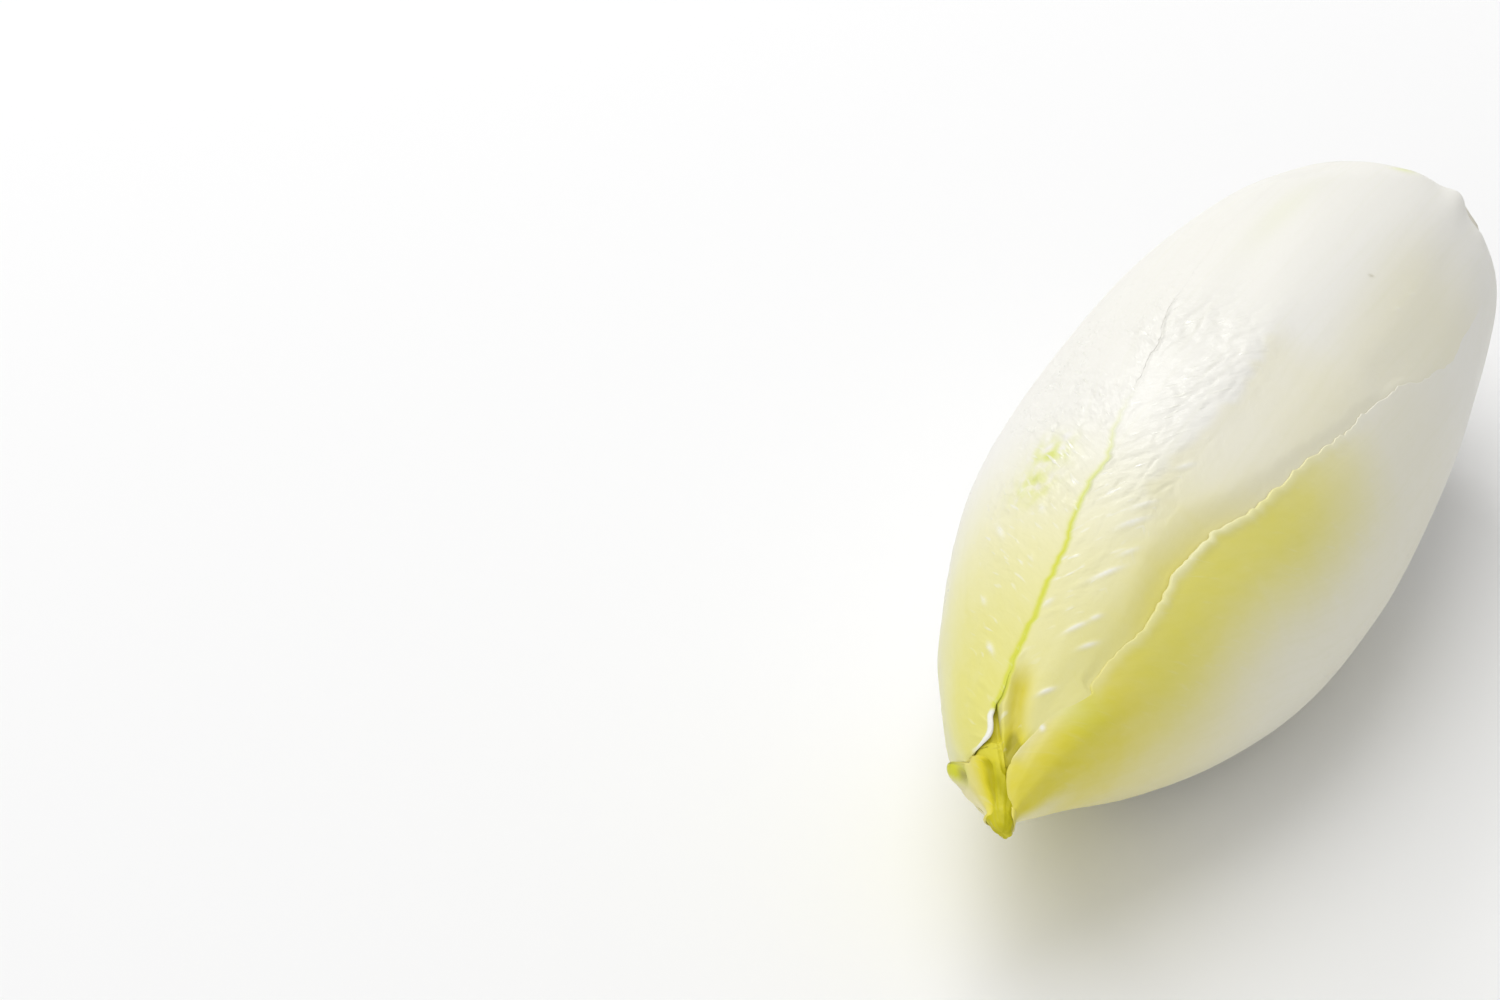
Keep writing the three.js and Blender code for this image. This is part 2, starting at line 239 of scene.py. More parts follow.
def bell(t):
    return np.exp(-np.square(t))


def turned(angle, start):
    return np.mod(angle - start + 180, 360) - 180


def random_at(i, j, seed):
    """A repeatable random number from 0 to 1 for each lattice point."""
    n = (i.astype(np.int64) * 374761393 + j.astype(np.int64) * 668265263 + seed * 974711) & 0xFFFFFFFF
    n = ((n ^ (n >> 13)) * 1274126177) & 0xFFFFFFFF
    n = ((n ^ (n >> 16)) * 2246822519) & 0xFFFFFFFF
    return ((n ^ (n >> 15)) & 0xFFFFFF) / 0xFFFFFF


def noise(u, v, seed):
    """Gradient noise, about -1 to 1."""
    u, v = np.broadcast_arrays(np.asarray(u, float), np.asarray(v, float))
    i, j = np.floor(u), np.floor(v)
    fu, fv = u - i, v - j

    def corner(di, dj):
        angle = 2 * np.pi * random_at(i + di, j + dj, seed)
        return np.cos(angle) * (fu - di) + np.sin(angle) * (fv - dj)

    su, sv = smooth(fu), smooth(fv)
    near = corner(0, 0) * (1 - su) + corner(1, 0) * su
    far = corner(0, 1) * (1 - su) + corner(1, 1) * su
    return 1.6 * (near * (1 - sv) + far * sv)


def cells(u, v, seed):
    """Distances to the nearest and second nearest of scattered cell centres."""
    i, j = np.floor(u), np.floor(v)
    nearest = np.full(u.shape, 9.0)
    second = nearest.copy()
    for di in (-1, 0, 1):
        for dj in (-1, 0, 1):
            ci, cj = i + di, j + dj
            away = np.hypot(ci + random_at(ci, cj, seed) - u, cj + random_at(ci, cj, seed + 1) - v)
            second = np.minimum(second, np.maximum(nearest, away))
            nearest = np.minimum(nearest, away)
    return nearest, second


# The outer form

def ring_radius(x):
    return along(RINGS, x)[0]


def envelope(x, angle):
    a = np.radians(angle)
    side, up = np.cos(a), np.sin(a)
    radius = ring_radius(x) + 0.13 * noise(3.2 * side + x / 75, 3.2 * up - x / 60, 3)
    radius = radius + 0.02 * noise(13 * side + x / 45, 13 * up, 4)
    for at, width, height, middle, reach in FORMS:
        radius = radius + height * bell(turned(angle, at) / width) * bell((x - middle) / reach)
    return radius


def find_place():
    """Where the head's own frame stands in the part's frame, from the stem's first ring."""
    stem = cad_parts["stem"]
    points = np.array([stem.matrix_world @ v.co for v in stem.data.vertices]) / MM
    first = points[points[:, 0] < points[:, 0].min() + 0.01]
    side, up = along(AXIS, STEM[0][0])
    middle = (first.min(axis=0) + first.max(axis=0)) / 2
    return middle - np.array([STEM[0][0], side, up])


def points_at(x, angle, radius, floor):
    side, up = along(AXIS, x)
    a = np.radians(angle)
    y = side + radius * np.cos(a)
    z = np.maximum(up + HEIGHT_SHARE * radius * np.sin(a), floor)
    return np.stack(np.broadcast_arrays(x, y, z), axis=-1)


# Leaves

def spread(leaf, x, ragged=True):
    """A leaf's lower and higher margin at x, in degrees."""
    low, high = along(leaf["margins"], x)
    turn = 2 * np.pi * x / leaf["ripple"]
    fade = smooth((x - leaf["start"]) / 12) * smooth((leaf["end"] - x) / 20)
    degrees = np.degrees(1 / ring_radius(x))
    wave = leaf["wave"] * fade * degrees
    high = high + wave * (np.sin(turn) + 0.6 * np.sin(2.3 * turn + 1))
    low = low + wave * (np.sin(turn + 2) + 0.6 * np.sin(1.7 * turn))
    if ragged:
        rag = along(leaf["rag"], x)[0] * degrees
        seed = leaf["seed"]
        high = high + rag * (0.8 * noise(x / 2.9, 0.5, seed) + 0.9 * noise(x / 1.1, 7.5, seed))
        low = low + rag * (0.8 * noise(x / 2.9, 30.5, seed) + 0.9 * noise(x / 1.1, 40.5, seed))
    middle, half = (low + high) / 2, np.maximum((high - low) / 2, 5.0)
    return middle - half, middle + half


def edge_at(leaf, x, across):
    """Margin thickness, gap, hold width and rise width, blended between the leaf's two edges."""
    share = smooth(across + 0.5)
    edge = along(leaf["low_edge"], x) * (1 - share) + along(leaf["high_edge"], x) * share
    least = np.array(EDGE_LEAST).reshape([4] + [1] * (edge.ndim - 1))
    return np.maximum(edge, least)


def thickness(leaf, x, across):
    margin = edge_at(leaf, x, across)[0]
    rib = np.maximum(along(leaf["ribs"], x)[0], margin)
    v = np.clip(np.abs(across), 0, 1)
    return margin + (rib - margin) * (1 - v * v) ** 1.3


def trim(leaf, x, angle):
    """How far the trimmed base edge moves a place of the leaf along the head."""
    moved = 0 * (x + angle)
    for at, width, length in leaf.get("cuts", []):
        moved = moved + length * bell(turned(angle, at) / width)
    return moved * (1 - smooth((x - leaf["start"]) / CUT_REACH))


def trimmed(leaf, x_row, angle):
    """Where the places of a row lie once the base edge is trimmed."""
    x = x_row
    for _ in range(8):
        x = x_row + trim(leaf, x, angle)
    return x


def beyond(leaf, x, angle, ragged=True):
    """How far outside a leaf's outline a place is in mm, negative inside, and its share across."""
    x = x - trim(leaf, x, angle)
    held = np.clip(x, leaf["start"], leaf["end"])
    low, high = spread(leaf, held, ragged)
    middle, half = (low + high) / 2, (high - low) / 2
    off = turned(angle, middle)
    aside = np.radians(np.abs(off) - half) * ring_radius(held)
    past = np.abs(x - held)
    outside = np.where(past > 0, np.hypot(np.maximum(aside, 0), past), aside)
    ends = np.minimum(leaf["end"] - held, held - leaf["start"])
    return np.where(outside < 0, np.maximum(outside, -ends), outside), held, off / half


def room(leaf, x, angle):
    """How far a covering leaf pushes down what lies beneath it, and how much it hides it."""
    out, held, across = beyond(leaf, x, angle)
    v = np.clip(np.abs(across), 0, 1)
    _, gap, hold, rise = edge_at(leaf, held, across)
    gap = gap + (INNER_GAP - gap) * (1 - v * v)
    share = 1 - smooth((out - hold) / rise)
    return share * (thickness(leaf, held, across) + gap), share


def beneath(covers, x, angle):
    radius = envelope(x, angle) + 0 * angle
    uncovered = np.ones_like(radius)
    for leaf in covers:
        taken, share = room(leaf, x, angle)
        radius = radius - taken
        uncovered = uncovered * (1 - share)
    return radius, uncovered


def rows_of(leaf):
    rows = [leaf["start"] + RIM_STEPS[-1]]
    last = leaf["end"] - RIM_STEPS[-1]
    while rows[-1] < last:
        rows.append(rows[-1] + ROW_STEP[0] + ROW_STEP[1] * float(ring_radius(rows[-1])))
    inner = np.array(rows[:-1])
    inner = inner[0] + (inner - inner[0]) * (last - inner[0]) / (inner[-1] - inner[0])
    start = [leaf["start"] + d for d in RIM_STEPS[:-1]]
    end = [leaf["end"] - d for d in RIM_STEPS[-2::-1]]
    return np.concatenate([start, inner, end])


def columns_of(leaf, covers, x, count):
    """Angles of a leaf's columns at each row, closer together where the leaf shows."""
    low, high = spread(leaf, x)
    radius = ring_radius(x)
    rim = np.degrees(RIM_STEPS[-1] / radius)
    rim = np.minimum(rim, (high - low) * 0.2)
    share = np.linspace(0, 1, 500)[None, :]
    angle = (low + rim)[:, None] + (high - low - 2 * rim)[:, None] * share
    facing = np.cos(np.radians(turned(angle, 65)) * 0.75)
    step = SEEN_STEP + (FAR_STEP - SEEN_STEP) * smooth(1.2 - facing * 1.6)
    for cover in covers:
        out, _, _ = beyond(cover, x[:, None] + 0 * angle, angle, ragged=False)
        step = step + (HIDDEN_STEP - step) * smooth(-out / 1.5 - 0.2)
        near = bell((out - 0.9) / 1.6) * (step < 1.4)
        step = step + (FINE_STEP - step) * near
    each = (angle[:, 1:] - angle[:, :-1]) * 0.5 * (1 / step[:, 1:] + 1 / step[:, :-1])
    total = np.concatenate([np.zeros((len(x), 1)), np.cumsum(each, axis=1)], axis=1)
    marks = np.linspace(0, 1, count)
    inside = np.array([np.interp(marks * t[-1], t, a) for t, a in zip(total, angle)])
    steps = [rim * d / RIM_STEPS[-1] for d in RIM_STEPS[:-1]]
    first = np.stack([low + d for d in steps], axis=1)
    last = np.stack([high - d for d in steps[::-1]], axis=1)
    return np.concatenate([first, inside, last], axis=1)


def rim_drop(out, bend):
    """How far a skin draws in towards the middle of the leaf close to its rim."""
    q = 1 - np.clip(-out / bend, 0, 1)
    return 0.98 * bend * (1 - np.sqrt(np.clip(1 - q * q, 0, 1)))


def vein_lines(x, lay):
    """Distances along and beside the side veins, which run from the middle of a leaf to its tip."""
    side = np.where(lay > 0, 1.0, -1.0)
    return (
        lay * side * np.cos(VEIN_SLANT) + x * np.sin(VEIN_SLANT),
        x * np.cos(VEIN_SLANT) - lay * side * np.sin(VEIN_SLANT),
    )


def plates(x, lay, seed):
    """Slightly raised scales of a blade, about -0.5 to 0.5, longer along the side veins."""
    on, beside = vein_lines(x, lay)
    u = on / 4.2 + 0.55 * noise(x / 4, lay / 4, seed + 1)
    v = beside / 2.7 + 0.55 * noise(x / 4, lay / 4, seed + 2)
    nearest, second = cells(u, v, seed + 3)
    return smooth((second - nearest) * 2.8) - 0.5


def blisters(x, lay, seed):
    """Scattered short wrinkles that lie along the side veins, 0 to 1."""
    u, v = x / BLISTER_PITCH, lay / BLISTER_PITCH
    i, j = np.floor(u), np.floor(v)
    height = 0 * x
    for di in (-1, 0, 1):
        for dj in (-1, 0, 1):
            ci, cj = i + di, j + dj
            off_x = (ci + random_at(ci, cj, seed) - u) * BLISTER_PITCH
            off_lay = (cj + random_at(ci, cj, seed + 1) - v) * BLISTER_PITCH
            present = random_at(ci, cj, seed + 2) < BLISTER_SHARE
            length = 0.6 + 0.9 * random_at(ci, cj, seed + 3)
            slant = VEIN_SLANT * np.where(lay > 0, -1, 1) + 0.5 * (random_at(ci, cj, seed + 4) - 0.5)
            height = np.maximum(height, present * wrinkle(off_x, off_lay, length, slant))
    return height


def wrinkle(off_x, off_lay, length, slant):
    """One short raised line across the leaf, turned by a slant in radians."""
    along_it = off_lay * np.cos(slant) - off_x * np.sin(slant)
    beside_it = off_x * np.cos(slant) + off_lay * np.sin(slant)
    return bell(along_it / length) * bell(beside_it / BLISTER_WIDTH)


def near_path(path, x, angle):
    """Distance in mm from a path of x and angle, and how far along it x lies, from 0 to 1."""
    at = along(path, x)[0]
    ends = path[0][0], path[-1][0]
    aside = np.radians(turned(angle, at)) * ring_radius(x)
    past = np.maximum(np.maximum(ends[0] - x, x - ends[1]), 0)
    return np.hypot(aside, past), (x - ends[0]) / (ends[1] - ends[0])


def crease(path, x, angle, width):
    """A bell across a path that fades in over its first third and ends softly."""
    away, share = near_path(path, x, angle)
    return bell(away / width) * smooth(share * 3)


def spot(x, angle, at_x, at_angle, size):
    aside = np.radians(turned(angle, at_angle)) * ring_radius(at_x)
    return bell(np.hypot(aside, x - at_x) / size)


VEIN_SLANT = 0.9  # side veins leave the middle of a leaf this steeply, in radians, towards its tip
BLISTER_PITCH = 3.6
BLISTER_SHARE = 0.4
BLISTER_WIDTH = 0.32
WRINKLE_MOST = 0.16
# Single wrinkles that catch the light, each also painted lighter as a painted highlight: leaf, distance,
# angle, half-length, height
WRINKLES = [
    ("upper_leaf", 117.5, 80.2, 1.5, 0.16), ("upper_leaf", 109.5, 81.7, 1.5, 0.15),
    ("upper_leaf", 106.3, 81.5, 1.3, 0.12), ("upper_leaf", 125.8, 79.2, 1.1, 0.14),
    ("upper_leaf", 134.7, 74.2, 0.8, 0.14), ("upper_leaf", 123.8, 96.0, 0.6, 0.12),
    ("upper_leaf", 123.6, 74.0, 0.6, 0.12), ("upper_leaf", 127.1, 69.5, 0.9, 0.12),
    ("upper_leaf", 98.0, 77.2, 1.1, 0.14), ("upper_leaf", 113.5, 77.5, 1.0, 0.1),
    ("outer_leaf_left", 130.4, 119.5, 0.8, 0.12), ("outer_leaf_left", 112.0, 129.5, 1.2, 0.13),
    ("outer_leaf_left", 105.5, 125.0, 0.8, 0.13), ("outer_leaf_left", 109.5, 114.0, 0.6, 0.12),
    ("outer_leaf_left", 123.1, 129.5, 0.6, 0.1), ("outer_leaf_right", 138.9, 62.5, 0.35, 0.16),
    ("upper_leaf", 45.5, 51.5, 0.35, 0.08), ("upper_leaf", 40.0, 50.0, 0.35, 0.06),
]
UPPER_FOLD = [(131, 95), (136, 91.5), (139, 86.5), (142, 81.5), (144, 80)]
UPPER_RIDGE = [(131, 104), (136, 101), (139.4, 97.5), (142.5, 92), (144, 87)]
UPPER_FLANK = [(14, 43), (30, 41), (45, 41), (60, 45)]
UPPER_VALLEY = [(26, 98), (40, 97), (55, 95), (72, 92)]
UPPER_CREST = [(54, 79), (73, 79), (85, 78.5), (92, 80.5), (100, 84), (110, 85.5)]
NUB = (144.3, 177)
NUB_RADIUS = 1.5
NUB_GREEN = (144.7, 170)  # the middle of its colour
NUB_CREASE_AWAY = 1.42  # the crease on the nub's flank: how far from its middle
NUB_CREASE_WAY = 40  # and which way, in degrees


def own_forms(leaf, x, angle, low_in, high_in):
    """Folds and curls of one leaf, in mm."""
    name = leaf["name"]
    if name == "upper_leaf":
        return (
            0.25 * crease(UPPER_RIDGE, x, angle, 1.0)
            - 0.85 * crease(UPPER_FOLD, x, angle, 1.4)
            - 0.3 * crease(UPPER_VALLEY, x, angle, 3.5)
            - 0.3 * crease(UPPER_FLANK, x, angle, 3.5)
            + 0.3 * crease(UPPER_CREST, x, angle, 4.5)
            + 0.25 * crease(UPPER_CREST, x, angle + 1.5 * noise(x / 2.2, 0.5, 61), 2.0)
        )
    if name == "outer_leaf_right":
        lift = (0.2 * smooth((x - 60) / 20) + 0.8 * bell((x - 107) / 13)) * (1 - smooth((x - 129) / 3))
        lift = lift * (0.85 + 0.5 * noise(x / 2.6, 0.5, 71))
        curl = 0.28 * lift * bell((high_in - 0.7) / 0.75)
        dip = smooth((x - 143.5) / 1.5) * (1 - smooth((x - 148.4) / 0.5))
        low_curl = 0.3 * smooth((x - 60) / 30) * bell(low_in / 1.1)
        return curl + low_curl * (1 - smooth((x - 140) / 6)) - 0.4 * dip * bell(high_in / 0.8)
    if name == "outer_leaf_left":
        tip = smooth((x - 137) / 3) * (1 - smooth((x - 142.4) / 1.2))
        return 0.45 * tip * bell(low_in / 0.8)
    if name == "lower_leaf":
        fold = along(LEAVES[4]["sunk"], x)[0] * smooth((x - 144.4) / 1.2)
        away, _ = from_nub(x, angle)
        ball = np.clip(1 - (away / NUB_RADIUS) ** 2, 0, 1) ** 0.6
        swell = 0.35 * spot(x, angle, 145.0, 200, 2.0)
        return 1.9 * ball + swell - 0.35 * nub_crease(x, angle) - fold * bell(low_in / 1.5)
    return 0 * x


def from_nub(x, angle):
    """Distance in mm and direction in degrees from the middle of the nub."""
    lay = np.radians(turned(angle, NUB[1])) * ring_radius(NUB[0])
    return np.hypot(lay, x - NUB[0]), np.degrees(np.arctan2(x - NUB[0], -lay))


def nub_crease(x, angle):
    """The crescent on the nub's flank, 0 to 1."""
    away, way = from_nub(x, angle)
    return bell((away - NUB_CREASE_AWAY) / 0.2) * bell(turned(way, NUB_CREASE_WAY) / 36)


def crinkled(leaf, x, across, lay):
    """Where a leaf's blade is crinkled, 0 to 1."""
    low_share, high_share, middle = leaf["crinkle"]
    amount = low_share * smooth((middle - across) / 0.3) + high_share * smooth((across - middle) / 0.3)
    patchy = smooth(0.5 + 1.3 * noise(x / 12, lay / 9, leaf["seed"] + 10))
    return smooth((x - 50) / 26) * amount, patchy


def relief(leaf, x, angle, across, lay):
    """Crinkles of a leaf's blade, in mm."""
    seed = leaf["seed"]
    blade, patchy = crinkled(leaf, x, across, lay)
    scaly = 0.26 * plates(x, lay, seed) * (1 - smooth((x - 108) / 16))
    rough = 0.03 * noise(x / 0.9, lay / 1.3, seed + 11)
    height = blade * ((scaly + rough) * (0.2 + 0.8 * patchy) + 0.15 * blisters(x, lay, seed + 20))
    return height + 0.25 * single_wrinkles(leaf, x, angle)


def single_wrinkles(leaf, x, angle):
    """The wrinkles of a leaf that are placed one by one, 0 to 1."""
    height = 0 * (x + angle)
    for name, at_x, at_angle, length, tall in WRINKLES:
        if name == leaf["name"]:
            off_lay = np.radians(turned(angle, at_angle)) * ring_radius(at_x)
            slant = VEIN_SLANT * (-1 if name == "upper_leaf" else 1)
            height = np.maximum(height, tall * wrinkle(x - at_x, off_lay, 1.3 * length, slant))
    return height / WRINKLE_MOST


def make_leaf(leaf, covers, floor, count):
    x_rows = rows_of(leaf)
    angle = columns_of(leaf, covers, x_rows, count)
    x = trimmed(leaf, np.broadcast_to(x_rows[:, None], angle.shape), angle)
    out, _, across = beyond(leaf, x, angle)
    lay = np.radians(angle - angle.mean(axis=1, keepdims=True)) * ring_radius(x)
    radius, uncovered = beneath(covers, x, angle)
    low, high = spread(leaf, x_rows)
    low_in = np.radians(angle - low[:, None]) * ring_radius(x)
    high_in = np.radians(high[:, None] - angle) * ring_radius(x)
    radius = radius + relief(leaf, x, angle, across, lay) * uncovered * smooth(-out / 1.5)
    radius = radius + own_forms(leaf, x, angle, low_in, high_in) * uncovered
    if "sunk" in leaf:
        radius = np.minimum(radius, envelope(x, angle) - along(leaf["sunk"], x)[0])
    thick = thickness(leaf, x, across)
    outer_drop = rim_drop(out, np.minimum(RIM_ROUND * thick, RIM_ROUND_MOST))
    inner_drop = rim_drop(out, INNER_ROUND * thick)
    outer = points_at(x, angle, radius - outer_drop, floor)
    under = np.maximum(radius - thick + inner_drop, SKIN_LEAST)
    inner = points_at(x, angle, under, floor + 0.3)
    yellow, green = tint(leaf, x, angle, low_in, high_in)
    marks = dict(
        yellow=np.concatenate([yellow.ravel(), yellow.ravel()]),
        green=np.concatenate([green.ravel(), green.ravel()]),
    )
    blade, patchy = crinkled(leaf, x, across, lay)
    # where the blade is crinkled; the shader paints glint highlights here
    wear_and_glints = blade * (0.3 + 0.7 * patchy) * uncovered * (1 - 0.6 * smooth((x - 112) / 14))
    marks["crinkled"] = np.concatenate([wear_and_glints.ravel(), 0 * wear_and_glints.ravel()])
    lip = rim_white(leaf, x, angle, low_in) if leaf["name"] == "outer_leaf_left" else 0
    # painted highlight: the placed wrinkles and the turned lip are painted lighter
    marks["painted_highlight"] = np.tile(np.maximum(single_wrinkles(leaf, x, angle), lip).ravel(), 2)
    # a real bruise dot, and painted shade in creases
    marks["bruise_and_shade"] = np.tile(bruises_and_painted_shade(leaf, x, angle).ravel(), 2)
    on, beside = vein_lines(x, lay)
    places = dict(grain=np.stack([x, lay, radius], axis=-1), vein=np.stack([on, beside, radius], axis=-1))
    places = {name: np.concatenate([at.reshape(-1, 3)] * 2) for name, at in places.items()}
    return grid_solid(outer, inner), marks, places


def bruises_and_painted_shade(leaf, x, angle):
    """Small dark marks of a leaf, 0 to 1: a real bruise dot, and painted shade in the upper leaf's fold
    crease and in the crescent on the nub's flank.
    """
    if leaf["name"] == "upper_leaf":
        # a real bruise dot, plus painted shade along the fold crease
        return 0.5 * spot(x, angle, 43.5, 63.5, 0.33) + 0.25 * crease(UPPER_FOLD, x, angle, 1.3)
    if leaf["name"] == "lower_leaf":
        # painted shade in the crescent on the nub's flank
        return 0.8 * nub_crease(x, angle)
    return 0 * (x + angle)


def grid_solid(outer, inner):
    """Vertices and faces of a solid between two skins over the same grid."""
    n, m = outer.shape[:2]
    at = np.arange(n * m).reshape(n, m)
    a, b, c, d = at[:-1, :-1], at[1:, :-1], at[1:, 1:], at[:-1, 1:]
    skin = np.stack([a, d, c, b], axis=-1).reshape(-1, 4)
    under = np.stack([a, b, c, d], axis=-1).reshape(-1, 4) + n * m
    rim = np.concatenate([at[0, :-1], at[:-1, -1], at[-1, :0:-1], at[:0:-1, 0]])
    nxt = np.roll(rim, -1)
    sides = np.stack([nxt, rim, rim + n * m, nxt + n * m], axis=-1)
    vertices = np.concatenate([outer.reshape(-1, 3), inner.reshape(-1, 3)])
    return vertices, np.concatenate([skin, under, sides]).tolist()


def tint_outer_right(leaf, x, angle, low_in, high_in):
    # painted shade: a faint warm tint over this leaf, which lies on the head's shaded side; the rise towards
    # the tip is the leaf's own yellowing
    shade_tone_and_tip_yellow = 0.04 + 0.08 * smooth((x - 35) / 30) + 0.45 * smooth((x - 100) / 45)
    strength = 0.74 * smooth((x - 66) / 32) + 0.2 * smooth((x - 126) / 14)
    zone = strength * bell((high_in - 4) / 10.5)
    zone = np.maximum(zone, 0.7 * strength * bell((low_in - 3) / 8))
    pale = 0.5 * smooth((x - 136) / 8) * smooth((10 - turned(angle, 0)) / 30)
    # painted highlight: a paler band along the margin near the tip
    pale = np.maximum(pale, 0.35 * smooth((x - 133) / 3) * (1 - smooth((x - 143) / 2)) * bell(high_in / 2))
    yellow = shade_tone_and_tip_yellow + (1 - shade_tone_and_tip_yellow) * zone
    faint = 1 - 0.75 * smooth((x - 130.8) / 1.2)
    width = (1.25 + 0.35 * noise(x / 3.1, 0.5, 77)) * (1 - 0.6 * smooth((x - 131) / 3))
    # painted highlight: the curled rim of the margin is painted paler along its lit ridge
    rim = np.exp(-np.abs(high_in / width) ** 3) * smooth((x - 50) / 25) * faint
    rim = rim * (0.25 + 0.25 * bell((x - 107) / 9))
    green = 0.3 * zone * (1 - smooth((x - 122) / 10)) + 0.4 * spot(x, angle, 134.5, 50, 3.5)
    return yellow * (1 - pale) * (1 - rim), green


def tint_outer_left(leaf, x, angle, low_in, high_in):
    base = 0.66 * smooth((x - 88) / 54)
    rib = 0.5 * smooth((angle - 140) / 35) * (1 - smooth((angle - 190) / 30))
    margin = smooth((x - 84) / 26) * bell(low_in / 0.45) * (1 - smooth((x - 138) / 1.5))
    strength = 0.38 + 0.22 * smooth((x - 104) / 12)
    patch = np.maximum(spot(x, angle, 99.5, 119, 2.9), spot(x, angle, 105.0, 121.5, 2.9))
    patch = 0.33 * patch * (0.65 + 1.1 * noise(x / 1.8, angle / 3, 7))
    yellow = 0.03 + base * (1 - rim_white(leaf, x, angle, low_in)) * (1 - rib) + patch
    yellow = np.maximum(yellow, np.minimum(yellow + strength * margin, 0.92))
    return yellow * (1 - rim_white(leaf, x, angle, low_in)), margin + 2.5 * patch + 0.5 * base


def rim_white(leaf, x, angle, low_in):
    """Where the outer left leaf's turned rim shows its white inner side; the same place is also painted
    lighter, a painted highlight.
    """
    rim = np.minimum(low_in, leaf["end"] - x)
    lip = smooth((x - 138.6) / 1.2) * (1 - 0.7 * smooth((x - 142.8) / 0.8))
    return lip * (1 - smooth((rim - 0.45) / 0.5)) * (1 - smooth((angle - 128) / 10))


def tint_upper(leaf, x, angle, low_in, high_in):
    base = 0.5 * smooth((x - 88) / 50) + 0.35 * smooth((x - 139) / 4)
    outer_low, outer_high = spread(LEAVES[0], x)[1], spread(LEAVES[1], x)[0]
    from_right = np.radians(angle - outer_low) * ring_radius(x)
    from_left = np.radians(outer_high - angle) * ring_radius(x)
    valley = 0.36 * bell((x - 112) / 14) * bell(from_right / 5)
    shade = 0.12 * smooth((x - 15) / 25) * smooth((72 - angle) / 20) * (1 - smooth((x - 112) / 14))
    margin = smooth((x - 84) / 26) * bell(from_left / 0.35) * (1 - smooth((x - 139) / 2))
    strength = 0.25 + 0.2 * smooth((x - 104) / 12)
    fold = crease(UPPER_FOLD, x, angle, 1.5)
    fresh = 0.2 * spot(x, angle, 7.4, 79, 1.6) + 0.04 * bell((x - 36) / 12) * bell(turned(angle, 99) / 5)
    # painted shade: the side of the upper leaf below its crest, away from the key lamp, is tinted warmer,
    # with a ragged edge
    away = along(UPPER_CREST, x)[0] + 1.8 * noise(x / 2.2, 0.5, 61) - angle
    crest_painted_shade = 0.11 * smooth((x - 62) / 10) * (1 - smooth((x - 100) / 12)) * smooth(away / 4) * bell(away / 25)
    yellow = 0.03 + base + valley + shade + 0.5 * fold + fresh + crest_painted_shade
    yellow = np.maximum(yellow, np.minimum(yellow + strength * margin, 0.92))
    return yellow, margin + 0.4 * base * (1 - fold) + 3 * fresh


def tint_lower(leaf, x, angle, low_in, high_in):
    yellow = 1.0 - 0.33 * smooth((angle - 112) / 50) - 0.25 * smooth((angle - 165) / 25)
    curl = np.minimum(1.5 * spot(x, angle, *NUB_GREEN, 1.0), 1)
    yellow = yellow + 0.22 * bell(low_in / 2.4) * smooth((x - 144.0) / 1)
    return np.maximum(yellow, curl), curl


def tint_inner(leaf, x, angle, low_in, high_in):
    yellow = 0.4 + 0.6 * smooth((x - 60) / 70) + 0.17 * smooth((x - 143.5) / 2)
    return yellow + 0 * angle, 0.25 + 0 * angle


TINTS = dict(
    outer_leaf_right=tint_outer_right, outer_leaf_left=tint_outer_left, upper_leaf=tint_upper,
    lower_leaf=tint_lower, inner_leaf_left=tint_inner, inner_leaf_right=tint_inner,
)


def tint(leaf, x, angle, low_in, high_in):
    return TINTS[leaf["name"]](leaf, x, angle, low_in, high_in)


# Stem and heart

STEM = [
    (-0.8, 10.5), (0, 12.4), (1.2, 13.9), (2.6, 15.2), (5.5, 16.6), (9, 14.5), (14, 9.0), (18.5, 2.6),
]
STEM_SIDES = 120
HEART_START, HEART_END = 21, 128
HEART_SIDES = 90


def ring_solid(rows):
    """Vertices and faces of rings of points, closed by a point at each end."""
    n, m = rows.shape[:2]
    at = np.arange(n * m).reshape(n, m)
    nxt = np.roll(at, -1, axis=1)
    quads = np.stack([at[:-1], nxt[:-1], nxt[1:], at[1:]], axis=-1).reshape(-1, 4).tolist()
    first = [[n * m, b, a] for a, b in zip(at[0], nxt[0])]
    last = [[n * m + 1, a, b] for a, b in zip(at[-1], nxt[-1])]
    ends = np.stack([rows[0].mean(axis=0), rows[-1].mean(axis=0)])
    return np.concatenate([rows.reshape(-1, 3), ends]), quads + first + last


def make_stem(floor):
    turn = np.arange(STEM_SIDES) * 360 / STEM_SIDES
    face = [(STEM[0][0], r) for r in np.linspace(0.6, STEM[0][1] - 0.3, 16)]
    places = np.concatenate([np.linspace(-0.8, 6, 22), np.linspace(6.5, 18.5, 14)])
    side = [(x, float(along(STEM, x)[0])) for x in places]
    rows = []
    for x, r in face + side:
        covers = [leaf for leaf in LEAVES if leaf["start"] < x + 1.0]
        below, _ = beneath(covers, np.full_like(turn, max(x, 3.0) if covers else x), turn)
        flank = 2.8 * bell(turned(turn, 35) / 13) * bell((x - 4.6) / 3.2)
        radius = np.minimum(r + flank, below - 0.15)
        rows.append(points_at(np.full_like(turn, x), turn, radius, floor))
    rows = np.array(rows)
    n_face = len(face)
    radial = np.linspace(0, 1, n_face)[:, None]
    rows[:n_face, :, 0] += 0.35 * noise(rows[:n_face, :, 1] / 6, rows[:n_face, :, 2] / 6, 5) * (1 - radial**6)
    return ring_solid(rows)


